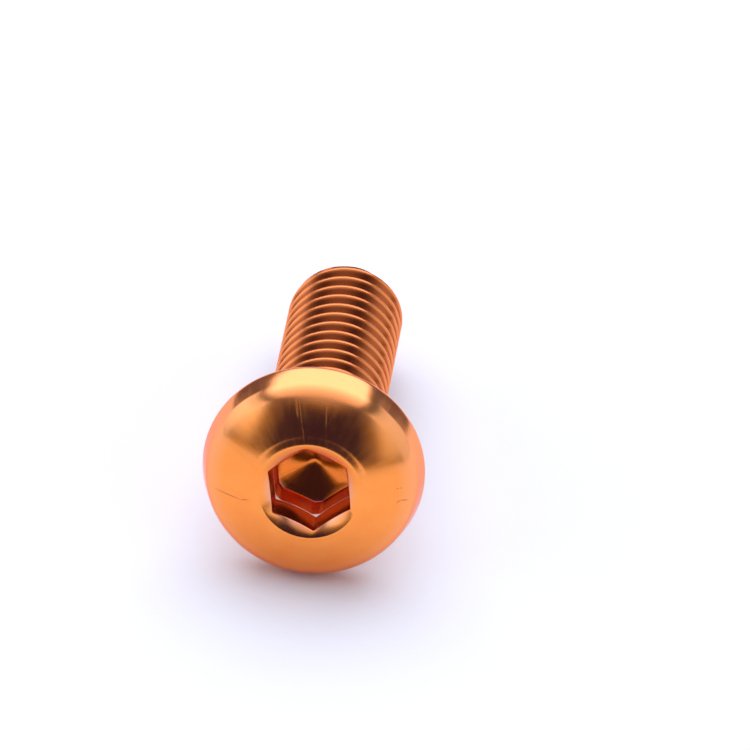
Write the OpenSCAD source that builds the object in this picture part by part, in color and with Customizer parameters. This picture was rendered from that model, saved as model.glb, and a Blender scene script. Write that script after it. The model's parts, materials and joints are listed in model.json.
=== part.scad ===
// Button-head machine screw with a hexagon socket, in orange anodised aluminium.
// It lies on a flat surface as it comes to rest: on the edge of its head and on the last crest
// of its thread. The screw is drawn along its own axis first, with the bearing face under the
// head at height 0, the dome above it and the shank below it, and is then laid down.

/* [Head] */
// Widest diameter of the head
head_d = 7.4; // [6.6:0.05:8.4]
// Height of the head, from the bearing face to the rim of the socket
head_h = 2.1; // [1.9:0.05:2.6]
// Radius of the dome
dome_r = 6; // [5:0.1:9]
// Radius of the shoulder between the dome and the side
shoulder_r = 0.8; // [0.4:0.05:1]
// How far the side leans in towards the dome, in degrees
side_draft = 14; // [6:1:20]
// Radius of the rolled edge between the side and the bearing face
edge_r = 0.3; // [0.15:0.05:0.4]

/* [Socket] */
// Width of the hexagon across its flats
socket_af = 2.58; // [2:0.02:2.8]
// Depth of the point of the socket's floor below its rim
socket_depth = 2.5; // [2.2:0.05:2.8]
// Slope of the floor from its edge down to its point, in degrees
floor_slope = 18; // [10:1:24]
// Depth of the small step in the walls below the rim
step_depth = 1.2; // [0.9:0.05:1.5]
// Width of the step along the flats of the hexagon
flat_step = 0.05; // [0.02:0.01:0.08]
// Width of the step in the corners of the hexagon, which are rounded below it
corner_step = 0.09; // [0.09:0.01:0.15]
// Diameter of the countersink at the rim of the socket
countersink_d = 3.4; // [3.3:0.05:3.8]
// Angle between opposite sides of the countersink, in degrees
countersink_angle = 120; // [90:5:140]
// Turn of the hexagon about the screw's axis, in degrees
socket_turn = 11; // [0:1:59]

/* [Shank] */
// Length from the bearing face to the end of the shank
length = 12; // [8:0.5:20]
// Diameter of the plain neck, which is that of the wire before its thread was rolled
neck_d = 3.5; // [3.3:0.05:3.6]
// Length of the plain neck
neck_h = 0.5; // [0.35:0.05:1]
// Radius of the fillet between the neck and the bearing face
neck_fillet = 0.25; // [0.1:0.05:0.3]
// Height of the chamfer at the end of the shank
tip_chamfer = 0.5; // [0.45:0.05:0.7]

/* [Thread] */
// Diameter over the crests
thread_d = 3.85; // [3.7:0.05:4]
// Distance from one crest to the next, along the axis
pitch = 0.7; // [0.65:0.05:0.8]
// Angle between the two flanks of the groove, in degrees
flank_angle = 60; // [54:1:64]
// Width of the flat along a crest
crest_w = 0.1; // [0.06:0.01:0.14]
// Width of the flat along the bottom of the groove
root_w = 0.11; // [0.06:0.01:0.14]
// Turns over which the thread rises out of the neck
run_out_turns = 1.6; // [1:0.1:2.5]
// Flat steps in one turn of the groove
turn_steps = 32; // [24:4:40]

/* [Hidden] */
$fn = 96;

// Head: the shoulder's arc touches both the dome and the sloping side
head_r = head_d / 2;
rim_r = countersink_d / 2;
dome_at = [0, head_h - sqrt(dome_r ^ 2 - rim_r ^ 2)];
edge_at = [head_r - edge_r, edge_r];
side_normal = [cos(side_draft), sin(side_draft)];
shoulder_reach = side_normal * (edge_at - dome_at) + edge_r - shoulder_r;
shoulder_tilt = asin(shoulder_reach / (dome_r - shoulder_r)) - side_draft;
shoulder_normal = [sin(shoulder_tilt), cos(shoulder_tilt)];
shoulder_at = dome_at + (dome_r - shoulder_r) * shoulder_normal;
dome_foot = dome_at + dome_r * shoulder_normal;

// Socket
countersink_h = rim_r / tan(countersink_angle / 2);
socket_r = socket_af / sqrt(3);
nose_r = socket_r - corner_step;

// Shank and thread
neck_r = neck_d / 2;
crest_r = thread_d / 2;
flank_slope = tan(flank_angle / 2);
root_r = crest_r - (pitch - crest_w - root_w) / 2 / flank_slope;
run_out_h = run_out_turns * pitch;
last_crest_z = tip_chamfer - length;
tip_r = crest_r - tip_chamfer;

// Rest: the tilt at which the head's rolled edge and the last crest both touch the floor
rest_run = edge_at.y - last_crest_z;
rest_rise = edge_at.x - crest_r;
rest_tilt = atan2(rest_rise, rest_run) + asin(edge_r / norm([rest_run, rest_rise]));
rest_lift = edge_at.x * cos(rest_tilt) - edge_at.y * sin(rest_tilt) + edge_r;
front_y = -head_h * cos(rest_tilt) - rim_r * sin(rest_tilt);
back_y = length * cos(rest_tilt) + tip_r * sin(rest_tilt);

// Half of the section of the blank, from its axis out, before the socket and the thread
module blank_section() {
    difference() {
        union() {
            polygon([
                [0, -length],
                [tip_r, -length],
                [crest_r, last_crest_z],
                [crest_r, -neck_h - run_out_h],
                [neck_r, -neck_h],
                [neck_r, -neck_fillet],
                [neck_r + neck_fillet, -neck_fillet],
                [neck_r + neck_fillet, 0],
                [edge_at.x, 0],
                edge_at + edge_r * side_normal,
                shoulder_at + shoulder_r * side_normal,
                dome_foot,
                [0, dome_foot.y]
            ]);
            translate(edge_at) circle(edge_r);
            translate(shoulder_at) circle(shoulder_r);
            intersection() {
                translate(dome_at) circle(dome_r);
                translate([0, dome_foot.y]) square([dome_foot.x, dome_r]);
            }
        }
        translate([neck_r + neck_fillet, -neck_fillet]) circle(neck_fillet);
    }
}

// Hexagon that stands upright on its flat end, turned as the socket is
module hexagon(across_flats) {
    rotate([0, 0, 30 + socket_turn]) cylinder(h = 2 * dome_r, r = across_flats / sqrt(3), $fn = 6);
}

// Countersunk hexagon, as a punch presses it into the dome. The nose of the punch is a little
// narrower than its body, has turned corners and ends in a blunt point.
module socket() {
    translate([0, 0, head_h - countersink_h])
        cylinder(h = 2 * countersink_h, r1 = 0, r2 = 2 * rim_r);
    translate([0, 0, head_h - step_depth]) hexagon(socket_af);
    translate([0, 0, head_h - socket_depth]) intersection() {
        hexagon(socket_af - 2 * flat_step);
        rotate_extrude() polygon([
            [0, 0], [nose_r, nose_r * tan(floor_slope)], [nose_r, 2 * socket_depth], [0, 2 * socket_depth]
        ]);
    }
}

// Helical groove between the crests. It starts beyond the end of the shank, and from its full
// depth it rises out of the neck. A crest meets the floor where the chamfer starts.
module groove() {
    // The groove's open side lies above the crests by a part of what would join two turns there
    open_r = crest_r + crest_w / flank_slope / 4;
    start_z = last_crest_z - 1.25 * pitch;
    turns = (-neck_h - start_z) / pitch + 0.25;
    steps = round(turns * turn_steps);

    function floor_r(z) = max(root_r, neck_r - (neck_r - root_r) * (-neck_h - z) / run_out_h);
    function ring(i) = let (
            a = 360 * i / turn_steps,
            z = start_z + pitch * i / turn_steps,
            r = floor_r(z),
            open_w = root_w / 2 + (open_r - r) * flank_slope
        ) [for (p = [[r, -root_w / 2], [open_r, -open_w], [open_r, open_w], [r, root_w / 2]])
            [p.x * cos(a), p.x * sin(a), z + p.y]];
    points = [for (i = [0:steps]) each ring(i)];
    sides = [for (i = [0:steps - 1], k = [0:3])
        let (a = 4 * i + k, b = 4 * i + (k + 1) % 4) each [[a, b, b + 4], [a, b + 4, a + 4]]];
    last = 4 * steps;
    polyhedron(points, concat([[3, 2, 1, 0]], sides, [[last, last + 1, last + 2, last + 3]]));
}

module screw() {
    color("darkorange")
    translate([0, -(front_y + back_y) / 2, rest_lift]) rotate([90 - rest_tilt, 0, 0])
    difference() {
        rotate_extrude() blank_section();
        socket();
        groove();
    }
}

screw();
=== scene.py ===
# %% [markdown]
# # A button-head screw in orange anodised aluminium
#
# This lesson builds one small machine screw and photographs it lying on a pale table. A real one is
# made from aluminium wire: a press forms the round head and its hexagon socket, two dies roll the
# thread, and the whole screw is then anodised and dyed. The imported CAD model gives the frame, so
# the screw below is drawn along its own axis in millimetres and is laid into that frame at the end.

import json
import math

import bmesh
import bpy
from mathutils import Matrix, Vector


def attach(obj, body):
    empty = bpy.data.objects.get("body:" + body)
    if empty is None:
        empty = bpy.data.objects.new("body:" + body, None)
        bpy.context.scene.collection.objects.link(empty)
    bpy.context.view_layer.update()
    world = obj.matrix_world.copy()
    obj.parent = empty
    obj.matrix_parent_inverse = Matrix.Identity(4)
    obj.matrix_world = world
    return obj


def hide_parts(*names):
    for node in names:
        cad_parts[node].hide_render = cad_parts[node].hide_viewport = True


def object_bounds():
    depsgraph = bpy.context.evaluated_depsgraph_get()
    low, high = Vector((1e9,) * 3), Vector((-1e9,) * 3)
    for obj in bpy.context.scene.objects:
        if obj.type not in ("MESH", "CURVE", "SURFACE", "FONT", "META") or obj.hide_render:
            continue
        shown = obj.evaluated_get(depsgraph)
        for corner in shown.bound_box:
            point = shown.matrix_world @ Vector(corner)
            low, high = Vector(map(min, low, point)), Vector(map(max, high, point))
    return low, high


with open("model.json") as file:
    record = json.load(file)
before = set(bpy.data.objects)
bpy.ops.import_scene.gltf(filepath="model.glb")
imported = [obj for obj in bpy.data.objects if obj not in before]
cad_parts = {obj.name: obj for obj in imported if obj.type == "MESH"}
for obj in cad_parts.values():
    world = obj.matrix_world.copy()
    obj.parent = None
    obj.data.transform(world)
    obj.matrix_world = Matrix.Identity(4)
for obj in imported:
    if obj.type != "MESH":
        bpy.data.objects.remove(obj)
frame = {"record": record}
cad_low, cad_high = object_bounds()
MM = 0.001
print("CAD box in mm:", [round(size / MM, 3) for size in cad_high - cad_low])

# %% [markdown]
# ## Where the screw lies
#
# The screw rests on the edge of its head and on the last crest of its thread, so its axis dips a
# little. The record's mounts say where: the bearing face under the head gives the point where the
# axis starts, and the thread gives its direction. The place could be typed in as numbers, but read
# from the record it follows the CAD model. One matrix then carries every point from the screw's own
# millimetres, with the head up, to its place on the table in metres.

# %% The screw's own frame
mounts = {mount["name"]: mount for mount in frame["record"]["mounts"]}
tip_way = Vector(mounts["thread"]["axis"]).normalized()
seat = Vector(mounts["bearing_face"]["pos_m"])
seat.x = 0
own_x = Vector((1, 0, 0))
own_z = -tip_way
own_axes = Matrix((own_x, own_z.cross(own_x), own_z)).transposed()
lay_down = Matrix.Translation(seat) @ own_axes.to_4x4() @ Matrix.Scale(MM, 4)
print("dip of the axis in degrees:", round(math.degrees(math.asin(-tip_way.z)), 2))

# %% [markdown]
# ## Outline of the head
#
# The head is round, so half of its section is enough: a narrow flat lip around the socket, a wide
# dome, a soft shoulder, a side that leans in, a rolled edge down to the bearing face and a fillet
# into the neck. A curve with handles could draw it too. Here the outline starts as a single vertex:
# extruding it draws a straight stretch and spinning it about a centre draws an arc, so that the
# arcs touch each other exactly. The sizes are those of a 4 mm screw, and the lip is pressed in by
# only a hundredth of a millimetre, which shows as a faint ring.

# %% Sizes of the head
head_r = (cad_high.x - cad_low.x) / 2 / MM
head_h, dome_r, shoulder_r, edge_r, side_draft = 2.1, 6.0, 0.8, 0.3, 14
rim_r, lip_r, lip_drop = 1.7, 2.0, 0.011
lip_edge_w, lip_edge_h = 0.03, 0.005
neck_r, neck_fillet = 1.75, 0.25
dome_at = Vector((0, head_h - math.sqrt(dome_r ** 2 - rim_r ** 2)))
edge_at = Vector((head_r - edge_r, edge_r))
side_out = Vector((math.cos(math.radians(side_draft)), math.sin(math.radians(side_draft))))
reach = side_out.dot(edge_at - dome_at) + edge_r - shoulder_r
shoulder_tilt = math.degrees(math.asin(reach / (dome_r - shoulder_r))) - side_draft
tilt = math.radians(shoulder_tilt)
shoulder_at = dome_at + (dome_r - shoulder_r) * Vector((math.sin(tilt), math.cos(tilt)))
print("head:", round(2 * head_r, 2), "mm wide, shoulder at", round(shoulder_tilt, 1), "degrees")


# %% Draw the outline in the XZ plane
def line_to(bm, vert, radius, height, steps=1):
    start, end = vert.co.copy(), Vector((radius, 0, height))
    for step in range(1, steps + 1):
        vert = bmesh.ops.extrude_vert_indiv(bm, verts=[vert])["verts"][0]
        vert.co = start.lerp(end, step / steps)
    return vert


def arc_about(bm, vert, centre, degrees, steps):
    made = bmesh.ops.spin(bm, geom=[vert], cent=(centre.x, 0, centre.y), axis=(0, 1, 0),
                          angle=math.radians(degrees), steps=steps)
    return next(item for item in made["geom_last"] if isinstance(item, bmesh.types.BMVert))


rim_z = head_h - lip_drop
lip_z = dome_at.y + math.sqrt(dome_r ** 2 - lip_r ** 2)
lip_tilt = math.degrees(math.asin(lip_r / dome_r))
fillet_at = Vector((neck_r + neck_fillet, -neck_fillet))
bm = bmesh.new()
pen = bm.verts.new((rim_r, 0, rim_z))
pen = line_to(bm, pen, lip_r - lip_edge_w, lip_z + lip_edge_h, steps=3)
pen = line_to(bm, pen, lip_r, lip_z)
pen = arc_about(bm, pen, dome_at, shoulder_tilt - lip_tilt, steps=20)
pen = arc_about(bm, pen, shoulder_at, 90 - side_draft - shoulder_tilt, steps=10)
pen = line_to(bm, pen, *(edge_at + edge_r * side_out), steps=2)
pen = arc_about(bm, pen, edge_at, 90 + side_draft, steps=10)
pen = line_to(bm, pen, fillet_at.x, 0)
pen = arc_about(bm, pen, fillet_at, -90, steps=6)
print("head outline:", len(bm.verts), "points")

# %% [markdown]
# ## Turning the head
#
# A full spin about the axis makes the head, as a lathe would. A Screw modifier could do the same,
# but the mesh is needed at once for the socket. The steps are a multiple of six and start at a
# corner of the hexagon, so that the round rim of the socket and the hexagon below it have the same
# number of points and each corner falls on one of them.

# %% Spin the outline into the head
ROUND_STEPS = 144
socket_turn = 11
first_corner = math.radians(30 + socket_turn)
bmesh.ops.rotate(bm, verts=bm.verts, cent=(0, 0, 0), matrix=Matrix.Rotation(first_corner, 3, "Z"))
bmesh.ops.spin(bm, geom=bm.verts[:] + bm.edges[:], cent=(0, 0, 0), axis=(0, 0, 1),
               angle=math.tau, steps=ROUND_STEPS, use_merge=True)
print("head:", len(bm.faces), "faces")

# %% [markdown]
# ## Pressing in the socket
#
# A punch with six sides makes the socket. A shallow cone at its mouth guides the key in, a small
# step in the walls shows where the punch's nose gets narrower and its corners rounder, and the
# floor is a blunt cone. A boolean with a drawn punch could cut it, but leaves uneven faces at the
# rim. Here the rim of the dome is extruded ring by ring, and each new ring only has to be moved to
# its place, so the faces stay in even rows.

# %% Countersink and walls
NEAR = 1e-4


def open_ring(bm, height):
    return [edge for edge in bm.edges if edge.is_boundary
            and all(abs(vert.co.z - height) < NEAR for vert in edge.verts)]


def extrude_ring(bm, edges):
    made = bmesh.ops.extrude_edge_only(bm, edges=edges)["geom"]
    return ([item for item in made if isinstance(item, bmesh.types.BMVert)],
            [item for item in made if isinstance(item, bmesh.types.BMEdge) and item.is_boundary])


def hexagon_radius(vert):
    turn = (math.atan2(vert.co.y, vert.co.x) - first_corner) % math.radians(60)
    return socket_af / 2 / math.cos(turn - math.radians(30))


socket_af, countersink_half = 2.58, math.radians(60)
step_depth, step_slope = 1.15, math.radians(35)
nose_part, nose_r = 0.99, 1.4
corner_r = socket_af / math.sqrt(3)
verts, mouth_edges = extrude_ring(bm, open_ring(bm, rim_z))
for vert in verts:
    inward = hexagon_radius(vert)
    vert.co.xy *= inward / vert.co.xy.length
    vert.co.z = rim_z - (rim_r - inward) / math.tan(countersink_half)
verts, step_edges = extrude_ring(bm, mouth_edges)
for vert in verts:
    vert.co.z = head_h - step_depth - (corner_r - vert.co.xy.length) * math.tan(step_slope)
verts, nose_edges = extrude_ring(bm, step_edges)
for vert in verts:
    inward = min(nose_part * hexagon_radius(vert), nose_r)
    vert.co.xy *= inward / vert.co.xy.length
    vert.co.z = head_h - step_depth - (corner_r - inward) * math.tan(step_slope)
print("socket:", socket_af, "mm across its flats, step", step_depth, "mm down")

# %% Floor
floor_depth, floor_slope, wall_draft = 2.5, math.radians(18), 0.975
floor_rings = (wall_draft, 0.8, 0.75, 0.67, 0.5, 0.25)
floor_edges, inner_edges = None, nose_edges
for shrink in floor_rings:
    verts, inner_edges = extrude_ring(bm, inner_edges)
    floor_edges = floor_edges or inner_edges
    for vert in verts:
        vert.co.xy *= shrink
        vert.co.z = head_h - floor_depth + vert.co.xy.length * math.tan(floor_slope)
bmesh.ops.edgeloop_fill(bm, edges=inner_edges)
print("socket:", floor_depth, "mm deep, floor of", len(floor_rings), "rings")

# %% [markdown]
# ## Edges that are not knife sharp
#
# A punch and a layer of oxide leave a small radius on every edge, and it is this radius that
# catches a thin line of light. A Bevel modifier would round all edges alike. The bevel operator
# takes chosen edges, so the mouth and the rim get a few hundredths of a millimetre and the step
# only a few thousandths.

# %% Round the edges of the socket
mouth_round, step_round, floor_round, rim_round = 0.035, 0.004, 0.02, 0.03


def round_off(edges, offset):
    bmesh.ops.bevel(bm, geom=edges, offset=offset, offset_type="OFFSET", affect="EDGES",
                    segments=2, profile=0.5, material=-1, clamp_overlap=True)


round_off(mouth_edges, mouth_round)
round_off(step_edges, step_round)
round_off(nose_edges, step_round)
round_off(floor_edges, floor_round)
rim_edges = [edge for edge in bm.edges if all(
    abs(vert.co.xy.length - rim_r) < NEAR and vert.co.z > rim_z - NEAR for vert in edge.verts)]
round_off(rim_edges, rim_round)
print("with rounded edges:", len(bm.faces), "faces")

# %% [markdown]
# ## Rolling the thread
#
# A rolled thread is one groove that winds round the shank. Its outline over one pitch, from the
# middle of a crest to the middle of the next, has a narrow rounded crest, two straight flanks and a
# round root. A spin that also moves up by one pitch in each turn winds it into a sheet, and copies
# of that turn make up the length. The turns share their edges, so merging the doubles closes them.

# %% Outline of one pitch
length, pitch, flank_half, crest_w, root_w = 12.0, 0.7, math.radians(30), 0.1, 0.11
crest_r = mounts["thread"]["dims"]["r_mm"]
root_r = crest_r - (pitch - crest_w - root_w) / 2 / math.tan(flank_half)
crest_round = 0.05
root_round = root_w / 2 / (math.cos(flank_half) - (1 - math.sin(flank_half)) * math.tan(flank_half))
tip_chamfer = 0.5
last_crest_z = tip_chamfer - length
# Three quarters of a turn bring the last crest to the side that lies on the table
spare_turns, table_turn = 2, 0.75
thread_from = last_crest_z - (spare_turns + table_turn) * pitch

thread = bmesh.new()
crest_flat = crest_w / 2 - crest_round * math.tan(math.radians(45) - flank_half / 2)
crest_at = Vector((crest_r - crest_round, thread_from + crest_flat))
root_at = Vector((root_r + root_round, thread_from + pitch / 2))
next_at = Vector((crest_r - crest_round, thread_from + pitch - crest_flat))
flank_turn = 90 - math.degrees(flank_half)
flank_out = Vector((math.sin(flank_half), math.cos(flank_half)))
pen = thread.verts.new((crest_r, 0, thread_from))
pen = line_to(thread, pen, crest_r, crest_at.y)
pen = arc_about(thread, pen, crest_at, -flank_turn, steps=5)
pen = line_to(thread, pen, *(root_at - root_round * flank_out), steps=4)
pen = arc_about(thread, pen, root_at, 2 * flank_turn, steps=6)
pen = line_to(thread, pen, *(next_at + crest_round * Vector((flank_out.x, -flank_out.y))), steps=4)
pen = arc_about(thread, pen, next_at, -flank_turn, steps=5)
pen = line_to(thread, pen, crest_r, thread_from + pitch)
print("one pitch:", len(thread.verts), "points, root round of", round(root_round, 3), "mm")

# %% Wind it up the shank
TURN_STEPS = 72
thread_to = 0.5
turns = math.ceil((thread_to - thread_from) / pitch)
bmesh.ops.spin(thread, geom=thread.verts[:] + thread.edges[:], cent=(0, 0, 0), axis=(0, 0, 1),
               dvec=(0, 0, pitch / TURN_STEPS), angle=math.tau, steps=TURN_STEPS)
one_turn = thread.verts[:] + thread.edges[:] + thread.faces[:]
bmesh.ops.spin(thread, geom=one_turn, cent=(0, 0, 0), axis=(0, 0, 1), dvec=(0, 0, pitch),
               angle=0, steps=turns - 1, use_duplicate=True)
bmesh.ops.remove_doubles(thread, verts=thread.verts, dist=NEAR)
print("thread:", turns, "turns,", len(thread.faces), "faces")

# %% [markdown]
# ## Where the thread starts and ends
#
# Near the head the dies leave a plain neck, and the thread rises out of it over about a turn and a
# half. At the far end the wire was chamfered before it was rolled. Booleans could cut both, but the
# distance to the axis is enough: crests and roots are drawn towards the neck's radius at one end,
# and held inside a cone at the other. Two flat cuts then trim the sheet to its length, and the end
# is closed with a broken edge and the shallow dish that rolling leaves there.

# %% Run-out and chamfer
neck_h, run_out_h = 0.5, 1.6 * pitch
tip_r, least_r = crest_r - tip_chamfer, 0.3
for vert in thread.verts:
    rolled_r = math.hypot(vert.co.x, vert.co.y)
    rise = min(1, max(0, (-neck_h - vert.co.z) / run_out_h))
    shaped_r = min(neck_r + (rolled_r - neck_r) * rise, max(least_r, tip_r + vert.co.z + length))
    vert.co.xy *= shaped_r / rolled_r
print("run-out over", round(run_out_h, 2), "mm, end of", round(2 * tip_r, 2), "mm across")

# %% Flat cuts and the end
tip_edge, dish_depth = 0.04, 0.03
dish_r, dish_floor_r = 0.72 * tip_r, 0.55 * tip_r
end_rings = ((tip_r - tip_edge / 2, 0), (dish_r, 0), (dish_floor_r, dish_depth))
for cut_z, outward in ((-neck_h, 1), (tip_edge - length, -1)):
    whole = thread.verts[:] + thread.edges[:] + thread.faces[:]
    bmesh.ops.bisect_plane(thread, geom=whole, plane_co=(0, 0, cut_z), plane_no=(0, 0, outward),
                           clear_outer=True)
end_edges = open_ring(thread, tip_edge - length)
for end_r, end_z in end_rings:
    verts, end_edges = extrude_ring(thread, end_edges)
    for vert in verts:
        vert.co.xy *= end_r / math.hypot(vert.co.x, vert.co.y)
        vert.co.z = end_z - length
bmesh.ops.edgeloop_fill(thread, edges=end_edges)
print("shank:", len(thread.faces), "faces, ends at", round(min(v.co.z for v in thread.verts), 3))

# %% [markdown]
# ## One closed skin
#
# The head ends at the foot of its fillet and the shank at the top of the neck. The two could stay
# apart and only touch, but a real screw is one piece. Both open rings go into one mesh, and the
# bridge operator joins them, which makes the plain neck itself.

# %% Join the head and the shank
shank_mesh = bpy.data.meshes.new("shank")
thread.to_mesh(shank_mesh)
thread.free()
bm.from_mesh(shank_mesh)
bpy.data.meshes.remove(shank_mesh)
bmesh.ops.bridge_loops(bm, edges=open_ring(bm, -neck_fillet) + open_ring(bm, -neck_h))
bmesh.ops.remove_doubles(bm, verts=bm.verts, dist=NEAR)
bmesh.ops.recalc_face_normals(bm, faces=bm.faces)
print("open edges left:", sum(not edge.is_manifold for edge in bm.edges))

# %% [markdown]
# ## Down on the table
#
# The object could be turned and moved, but here its vertices are, so that the object stays at the
# origin as a CAD node does and its material can measure from there. Smooth shading suits the rolled
# and pressed forms, and edges steeper than a limit stay crisp. The skin is then attached to the
# root body, and the CAD solid that it stands in for is hidden.

# %% Lay the screw in its place
CRISP_ANGLE = math.radians(38)
bmesh.ops.transform(bm, matrix=lay_down, verts=bm.verts)
screw_mesh = bpy.data.meshes.new("screw_skin")
bm.to_mesh(screw_mesh)
bm.free()
screw_mesh.shade_smooth()
screw_mesh.set_sharp_from_angle(angle=CRISP_ANGLE)
screw = bpy.data.objects.new("screw_skin", screw_mesh)
bpy.context.scene.collection.objects.link(screw)
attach(screw, "root")
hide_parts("screw")
print("screw:", len(screw_mesh.polygons), "faces,",
      sum(len(face.vertices) - 2 for face in screw_mesh.polygons), "triangles")

# %% [markdown]
# ## Dyed and sealed
#
# Anodising grows a clear layer of oxide on the metal, which takes up the dye and is sealed in hot
# water. Light goes through it to the bright metal and back, so the colour is that of a metal, and
# the surface of the layer adds a weak white reflection of its own. A tinted glass shell over grey
# metal could show this, but a Principled shader does both with Metallic and Coat. Its patterns
# start from the screw's own millimetres, so that marks follow the way it was made.


# %% Start the material
def add_node(tree, kind, inputs=None, **settings):
    node = tree.nodes.new(kind)
    for name, value in settings.items():
        setattr(node, name, value)
    for name, value in (inputs or {}).items():
        if isinstance(value, bpy.types.NodeSocket):
            tree.links.new(value, node.inputs[name])
        else:
            node.inputs[name].default_value = value
    return node


# Orange anodised aluminium: pressed bright, etched a little, dyed and sealed, so it shines like a
# coloured mirror whose reflections have soft edges
finish = bpy.data.materials.new("orange_anodised")
finish.use_nodes = True
dye = finish.node_tree
dye.nodes.clear()
place = add_node(dye, "ShaderNodeTexCoord")
own = add_node(dye, "ShaderNodeMapping", {
    "Vector": place.outputs["Object"], "Location": seat, "Rotation": own_axes.to_euler(),
    "Scale": (MM, MM, MM)}, vector_type="TEXTURE").outputs["Vector"]
height = add_node(dye, "ShaderNodeSeparateXYZ", {"Vector": own}).outputs["Z"]
flat = add_node(dye, "ShaderNodeVectorMath", {
    0: own, 1: (1, 1, 0)}, operation="MULTIPLY").outputs["Vector"]
radius = add_node(dye, "ShaderNodeVectorMath", {0: flat}, operation="LENGTH").outputs["Value"]
around = add_node(dye, "ShaderNodeVectorMath", {0: flat}, operation="NORMALIZE").outputs["Vector"]
print("material turned by", [round(math.degrees(turn), 2) for turn in own_axes.to_euler()])

# %% [markdown]
# ## Marks of the press
#
# The die draws the metal outwards, which leaves fine streaks from the socket to the edge, and the
# bath leaves faint patches and tiny pits. Stretched coordinates turn a plain noise into streaks:
# the direction from the axis is scaled up, so the noise changes quickly around the head and slowly
# along its radius. Real streaks are a few hundredths of a millimetre wide, too fine to show here,
# so they are drawn about 0.15 mm wide in the middle of the dome. Real pits are also finer, a few
# thousandths of a millimetre, and are drawn at nearly 0.05 mm. The patches are 0.8 mm across.

# %% Three noises
STREAKS_PER_RADIAN, PATCHES_PER_MM, PITS_PER_MM = 16.0, 1.3, 22.0
mid_dome_r = 2.4
streak_way = add_node(dye, "ShaderNodeVectorMath", {
    0: around, "Scale": STREAKS_PER_RADIAN}, operation="SCALE")
streak_out = add_node(dye, "ShaderNodeCombineXYZ", {"Z": radius})
streak_at = add_node(dye, "ShaderNodeVectorMath", {
    0: streak_way.outputs["Vector"], 1: streak_out.outputs["Vector"]}, operation="ADD")
streaks = add_node(dye, "ShaderNodeTexNoise", {
    "Vector": streak_at.outputs["Vector"], "Scale": 1.0, "Detail": 3.0, "Roughness": 0.6})
patches = add_node(dye, "ShaderNodeTexNoise", {
    "Vector": own, "Scale": PATCHES_PER_MM, "Detail": 4.0, "Roughness": 0.6})
pits = add_node(dye, "ShaderNodeTexNoise", {
    "Vector": own, "Scale": PITS_PER_MM, "Detail": 2.0, "Roughness": 0.5})
print("streaks", round(mid_dome_r / STREAKS_PER_RADIAN, 2), "mm wide, patches",
      round(1 / PATCHES_PER_MM, 2), "mm, pits", round(1 / PITS_PER_MM, 3), "mm")

# %% [markdown]
# ## Zones of the screw
#
# One dye doesn't look the same everywhere: light bounces more often in the socket and in the
# grooves of the thread than on the open dome, and some zones below get that light and shade painted
# into their colour. Vertex colours could mark these zones, but each one is simply a range of height
# or of distance from the axis, so a Map Range node fades it in, and a product or difference of two
# gives the ones in between.

# %% Fade the zones in
# Where each zone starts and where it is full, in millimetres
ranges = {
    "top": (height, 0.3, 0.6),
    "shank": (height, -0.2, -0.5),
    "crest": (radius, crest_r - 0.07, crest_r - 0.015),
    # The shoulder zone carries a paler colour, a painted highlight tint
    "shoulder": (radius, 2.9, 3.4),
    "inside": (radius, 1.66, 1.5),
    "under_rim": (height, head_h - 0.1, head_h - 0.4),
    "bottom": (height, head_h - 1.95, head_h - 2.1)}
zones = {}
for name, (value, start, end) in ranges.items():
    zones[name] = add_node(dye, "ShaderNodeMapRange", {
        "Value": value, "From Min": start, "From Max": end}).outputs["Result"]
for name, first, second, operation in (
        # groove carries painted shade in the thread, ridge a painted tint for the highlight lines
        # on the crests
        ("groove", "shank", "crest", "SUBTRACT"), ("crest_painted_highlight_tint", "shank", "crest", "MULTIPLY"),
        # socket and floor carry the socket's painted lightening and the painted colour of its
        # reflections
        ("socket", "inside", "under_rim", "MULTIPLY"), ("floor", "socket", "bottom", "MULTIPLY")):
    zones[name] = add_node(dye, "ShaderNodeMath", {
        0: zones[first], 1: zones[second]}, operation=operation, use_clamp=True).outputs["Value"]
print("zones:", ", ".join(zones))

# %% [markdown]
# ## Scuffs and scratches
#
# Screws rub against each other in their bag. A scuff only makes the layer duller, and a scratch
# goes into the dye and looks dark. Each one is a long thin spot: a Mapping node turns and squeezes
# the plane of the head, and a spherical gradient in it fades out at both ends. They are drawn
# 0.06 to 0.1 mm wide, wider than real ones, so that they show.

# %% Strokes on the head
STROKE_CORE = 0.4


def strokes(lines):
    total = 0.0
    for middle, run, width, turn in lines:
        spot = add_node(dye, "ShaderNodeMapping", {
            "Vector": flat, "Location": (*middle, 0), "Rotation": (0, 0, math.radians(turn)),
            "Scale": (run / 2, width / 2, 1)}, vector_type="TEXTURE")
        mark = add_node(dye, "ShaderNodeTexGradient", {
            "Vector": spot.outputs["Vector"]}, gradient_type="SPHERICAL")
        total = add_node(dye, "ShaderNodeMath", {
            0: total, 1: mark.outputs["Fac"]}, operation="MAXIMUM").outputs["Value"]
    return add_node(dye, "ShaderNodeMapRange", {
        "Value": total, "From Max": STROKE_CORE, "To Max": zones["top"]}).outputs["Result"]


# Each stroke: its middle on the head, its length and width in millimetres, its turn in degrees
scuff_lines = (((-0.5, 2.42), 2.2, 0.06, -74.5), ((0.3, 2.55), 2.0, 0.06, -83.5),
               ((-0.72, 2.8), 0.8, 0.1, -75))
scratch_lines = (((-2.67, -0.67), 1.1, 0.06, -4), ((-2.1, -0.665), 0.34, 0.06, 16),
                 ((2.96, -0.18), 0.16, 0.06, 38), ((3.13, -0.145), 0.3, 0.06, -6),
                 ((2.88, 0.315), 0.07, 0.06, 0), ((3.0, 0.316), 0.07, 0.06, 0))
scuffs, scratches = strokes(scuff_lines), strokes(scratch_lines)
print("strokes:", len(scuff_lines), "scuffs and", len(scratch_lines), "scratches")
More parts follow.
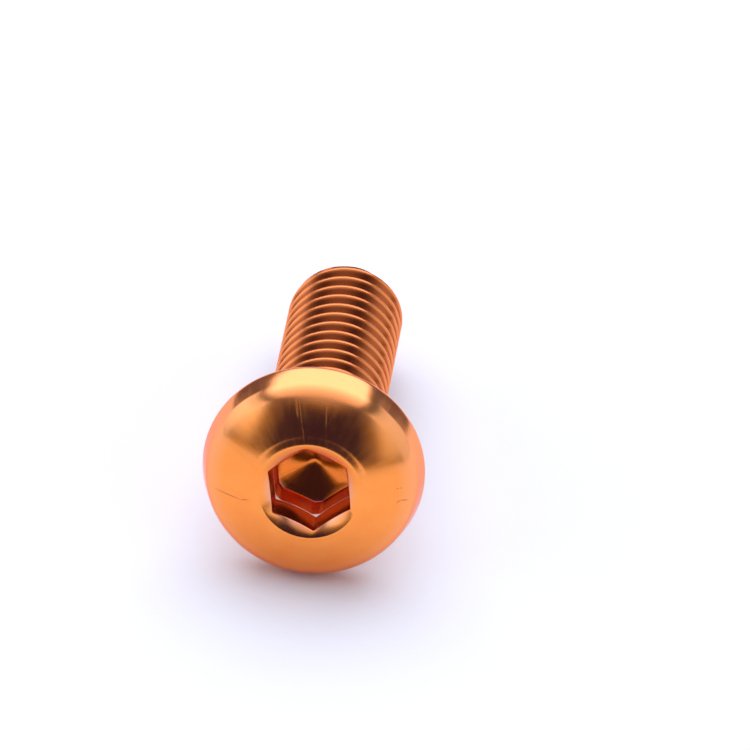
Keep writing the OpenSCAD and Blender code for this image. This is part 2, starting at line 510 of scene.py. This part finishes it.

# %% [markdown]
# ## Colour
#
# The dome is a clear orange that varies a little from patch to patch. The shoulder is drawn a bit
# paler, a painted highlight tint that makes the reflections there creamier. The grooves of the
# thread get painted shade, darker than the crests, and the crests a slightly darker, pinker tint
# that dims and colours the highlight lines on them. In the socket light bounces several times and
# each bounce deepens the colour, so its walls are painted paler than they look to offset that
# shade, and its floor a deep orange that paints the colour of the reflections there. A painted
# image could hold all this, but mixing one zone after another keeps each shade easy to set.


# %% Lay the dye on
def linear(hex_colour):
    parts = [int(hex_colour[at:at + 2], 16) / 255 for at in (1, 3, 5)]
    return [part / 12.92 if part <= 0.04045 else ((part + 0.055) / 1.055) ** 2.4
            for part in parts] + [1]


# Sockets of a Mix node that mixes colours
FACTOR, FIRST, SECOND, MIXED = 0, 6, 7, 2
SCRATCH_DEPTH = 0.6
# Painted light in the base colour: a paler shoulder as a highlight tint, painted shade in the
# grooves, a crest tint for the highlight lines, socket walls painted paler against bounce shade,
# and a socket floor coloured for its reflections
painted_light_colours = (("shoulder", "#FFA05C"), ("groove", "#BC5818"), ("crest_painted_highlight_tint", "#F88C48"),
                ("socket", "#D4A9A4"), ("floor", "#EE7608"))
tint = add_node(dye, "ShaderNodeValToRGB", {"Fac": patches.outputs["Fac"]})
for stop, position, shade in zip(tint.color_ramp.elements, (0.3, 0.7), ("#FD9036", "#FF993F")):
    stop.position, stop.color = position, linear(shade)
dye_and_painted_light = tint.outputs["Color"]
# Each zone mixes its painted light colour over the orange
for name, shade in painted_light_colours:
    dye_and_painted_light = add_node(dye, "ShaderNodeMix", {
        FACTOR: zones[name], FIRST: dye_and_painted_light, SECOND: linear(shade)}, data_type="RGBA").outputs[MIXED]
scratched = add_node(dye, "ShaderNodeMath", {0: scratches, 1: SCRATCH_DEPTH}, operation="MULTIPLY")
dye_and_painted_light = add_node(dye, "ShaderNodeMix", {
    FACTOR: scratched.outputs["Value"], FIRST: dye_and_painted_light, SECOND: linear("#A8502C")},
    data_type="RGBA").outputs[MIXED]
print("colour: two shades of orange and", len(painted_light_colours), "zones")

# %% [markdown]
# ## Gloss and relief
#
# A pressed and lightly etched face has a roughness of about 0.1 to 0.2. Patches, streaks and scuffs
# vary it on the head, and the crests of the thread are duller than its flanks, which the dies
# burnish. Two bumps of a few thousandths of a millimetre break up reflections that would otherwise
# look like those of a perfect mirror. Finer real meshes would take far too many faces for this. The
# coat has an IOR of 1.6, about that of the sealed oxide.

# %% Roughness, relief and shader
SCUFF_DULL, STREAK_BUMP, PIT_BUMP = 0.12, 0.004 * MM, 0.003 * MM
plain = add_node(dye, "ShaderNodeMapRange", {
    "Value": patches.outputs["Fac"], "From Min": 0.3, "From Max": 0.7,
    "To Min": 0.12, "To Max": 0.17})
worn = add_node(dye, "ShaderNodeMapRange", {
    "Value": streaks.outputs["Fac"], "From Min": 0.45, "From Max": 0.75, "To Max": 0.07})
scuffed = add_node(dye, "ShaderNodeMath", {
    0: scuffs, 1: SCUFF_DULL, 2: worn.outputs["Result"]}, operation="MULTIPLY_ADD")
head_rough = add_node(dye, "ShaderNodeMath", {
    0: plain.outputs["Result"], 1: scuffed.outputs["Value"]}, operation="ADD")
shank_rough = add_node(dye, "ShaderNodeMapRange", {
    "Value": zones["crest"], "To Min": 0.17, "To Max": 0.26})
rough = add_node(dye, "ShaderNodeMix", {
    "Factor": zones["shank"], "A": head_rough.outputs["Value"],
    "B": shank_rough.outputs["Result"]})
relief = add_node(dye, "ShaderNodeBump", {
    "Height": streaks.outputs["Fac"], "Strength": 0.2, "Distance": STREAK_BUMP})
grain = add_node(dye, "ShaderNodeBump", {
    "Height": pits.outputs["Fac"], "Normal": relief.outputs["Normal"],
    "Strength": 0.3, "Distance": PIT_BUMP})
shader = add_node(dye, "ShaderNodeBsdfPrincipled", {
    "Base Color": dye_and_painted_light, "Metallic": 1.0, "Roughness": rough.outputs["Result"],
    "Normal": grain.outputs["Normal"], "Specular Tint": (1.0, 0.5, 0.42, 1),
    "Coat Weight": 0.45, "Coat Roughness": 0.05, "Coat IOR": 1.6})
add_node(dye, "ShaderNodeOutputMaterial", {"Surface": shader.outputs["BSDF"]})
screw_mesh.materials.append(finish)
print("material nodes:", len(dye.nodes))

# %% [markdown]
# ## Table
#
# The screw lies on a sheet of white paper. A flat grid with a dull material is enough, because its
# fibres are far too fine to show.

# %% White table
TABLE_HALF = 0.5
bm = bmesh.new()
bmesh.ops.create_grid(bm, x_segments=1, y_segments=1, size=TABLE_HALF)
table_mesh = bpy.data.meshes.new("table_top")
bm.to_mesh(table_mesh)
bm.free()
table = bpy.data.objects.new("table_top", table_mesh)
bpy.context.scene.collection.objects.link(table)
# Uncoated white paper: dried between plain rollers, so it looks matt, with hardly any gloss
paper = bpy.data.materials.new("white_paper")
paper.use_nodes = True
sheet = paper.node_tree.nodes["Principled BSDF"].inputs
sheet["Base Color"].default_value = linear("#F3F5F9")
sheet["Roughness"].default_value = 0.9
sheet["Specular IOR Level"].default_value = 0.1
table_mesh.materials.append(paper)
print("table of", table.dimensions.x, "m")

# %% [markdown]
# ## Light tent
#
# What a polished part looks like is mostly what it reflects. Area lamps would do for a dull one,
# but here the whole surroundings count, so the world is drawn as a small photo tent: white walls at
# the left and right, a bright panel overhead that reaches down behind the screw, dim back corners,
# a grey strip where the front meets the table, and the dark opening that the camera looks through.
# Four angles say where in the tent a direction points: around, up, and the tent's roll and pitch.

# %% Directions in the tent
TENT_LEAN, TENT_LEVEL = 0.2, 0.86
world = bpy.data.worlds.new("light_tent")
bpy.context.scene.world = world
world.use_nodes = True
tent = world.node_tree
tent.nodes.clear()
look = add_node(tent, "ShaderNodeTexCoord")
way = add_node(tent, "ShaderNodeSeparateXYZ", {"Vector": look.outputs["Generated"]}).outputs
toward = add_node(tent, "ShaderNodeMath", {
    0: way["Y"], 1: -1.0}, operation="MULTIPLY").outputs["Value"]
swing = add_node(tent, "ShaderNodeMath", {
    0: way["X"], 1: toward}, operation="ARCTAN2").outputs["Value"]
aside = add_node(tent, "ShaderNodeMath", {0: swing}, operation="ABSOLUTE").outputs["Value"]
climb = add_node(tent, "ShaderNodeMath", {0: way["Z"]}, operation="ARCSINE").outputs["Value"]
lean = add_node(tent, "ShaderNodeMath", {
    0: way["Y"], 1: TENT_LEAN, 2: way["Z"]}, operation="MULTIPLY_ADD").outputs["Value"]
tent_roll = add_node(tent, "ShaderNodeMath", {
    0: way["X"], 1: lean}, operation="ARCTAN2").outputs["Value"]
tent_pitch = add_node(tent, "ShaderNodeMath", {
    0: toward, 1: way["Z"]}, operation="ARCTAN2").outputs["Value"]
print("nodes for directions:", len(tent.nodes))


# %% Walls and panel
def profile(angle, tone, stops):
    along = add_node(tent, "ShaderNodeMapRange", {
        "Value": angle, "From Min": math.radians(-90), "From Max": math.radians(90)})
    ramp = add_node(tent, "ShaderNodeValToRGB", {"Fac": along.outputs["Result"]})
    marks = ramp.color_ramp.elements
    while len(marks) < len(stops):
        marks.new(1.0)
    for mark, (degrees, level) in zip(marks, stops):
        mark.position = (degrees + 90) / 180
        mark.color = (*(level * part for part in tone), 1)
    return ramp.outputs["Color"]


WALL_TONE, PANEL_TONE = (0.92, 1.0, 1.12), (1.0, 1.0, 1.12)
walls = profile(tent_roll, WALL_TONE, (
    (-90, 0.92), (-87, 1.15), (-83, 1.35), (-75, 1.6), (-65, 1.75), (-60, 1.45), (-55, 1.3),
    (-50, 0.27), (-42, 0.27), (32, 0.22), (45, 0.22), (50, 1.05), (60, 1.2), (80, 1.1), (90, 1.0)))
panel = profile(tent_pitch, PANEL_TONE, (
    (-90, 0.8), (-64, 0.8), (-55, 2.55), (-22, 2.5), (0, 1.8), (15, 1.45), (22, 1.25),
    (39, 0.95), (46, 0.7), (52, 0.4), (60, 0.25)))
print("tent: walls from left to right, panel from back to front")


# %% Put the tent together
def between(angle, *degrees):
    low, low_end, high_end, high = (math.radians(limit) for limit in degrees)
    begins, ends = (add_node(tent, "ShaderNodeMapRange", {
        "Value": angle, "From Min": outer, "From Max": inner},
        interpolation_type="SMOOTHSTEP").outputs["Result"]
        for outer, inner in ((low, low_end), (high, high_end)))
    return add_node(tent, "ShaderNodeMath", {
        0: begins, 1: ends}, operation="MULTIPLY").outputs["Value"]


def window(across, across_degrees, upward, upward_degrees):
    return add_node(tent, "ShaderNodeMath", {
        0: between(across, *across_degrees), 1: between(upward, *upward_degrees)},
        operation="MULTIPLY").outputs["Value"]


STRIP, BACK = (0.5, 0.5, 0.55, 1), (0.2, 0.18, 0.25, 1)
DIM, DARK = (0.27, 0.26, 0.33, 1), (0.048, 0.04, 0.18, 1)
layers = (
    (between(tent_roll, -50, -38, 33, 38), panel),
    (window(swing, (-68, -54, 54, 68), climb, (-1, 0, 3, 7)), STRIP),
    (window(aside, (126, 132, 150, 158), tent_pitch, (-181, -180, -60, -54)), BACK),
    (window(swing, (-49, -37, 35, 46), climb, (0, 3, 38, 48)), DIM),
    (window(swing, (-38, -25, 25, 37), climb, (2, 6, 34, 44)), DARK))
light = walls
for mask, level in layers:
    light = add_node(tent, "ShaderNodeMix", {
        FACTOR: mask, FIRST: light, SECOND: level}, data_type="RGBA").outputs[MIXED]
sky = add_node(tent, "ShaderNodeBackground", {"Color": light, "Strength": TENT_LEVEL})
add_node(tent, "ShaderNodeOutputWorld", {"Surface": sky.outputs["Background"]})
print("world nodes:", len(tent.nodes))

# %% [markdown]
# ## Camera
#
# The photograph looks down on the head from the front, with a slight roll, and its lines hardly
# converge, so the camera stands far away with a long lens. The place of the bearing face in the
# picture and the scale in pixels per millimetre then settle where the camera stands. The Standard
# view shows colours as they are written.

# %% Place the camera
azimuth, elevation, camera_roll = math.radians(2.5), math.radians(34.8), math.radians(6)
image_side, image_scale, distance = 750, 30.2, 0.55
seat_pixel = Vector((314.6, 464.4))
back = Vector((math.sin(azimuth) * math.cos(elevation), -math.cos(azimuth) * math.cos(elevation),
               math.sin(elevation)))
level_way = Vector((math.cos(azimuth), math.sin(azimuth), 0))
right = math.cos(camera_roll) * level_way + math.sin(camera_roll) * back.cross(level_way)
top = back.cross(right)
offset = (seat_pixel - Vector((image_side, image_side)) / 2) / image_scale * MM
lens = bpy.data.cameras.new("camera")
lens.sensor_width = 36
lens.lens = lens.sensor_width / image_side * image_scale * distance / MM
lens.clip_start = 0.05
camera = bpy.data.objects.new("camera", lens)
bpy.context.scene.collection.objects.link(camera)
stand = seat + back * distance - right * offset.x + top * offset.y
turned = Matrix((right, top, back)).transposed().to_4x4()
camera.matrix_world = Matrix.Translation(stand) @ turned
bpy.context.scene.camera = camera
bpy.context.scene.view_settings.view_transform = "Standard"
print("lens in mm:", round(lens.lens, 1))
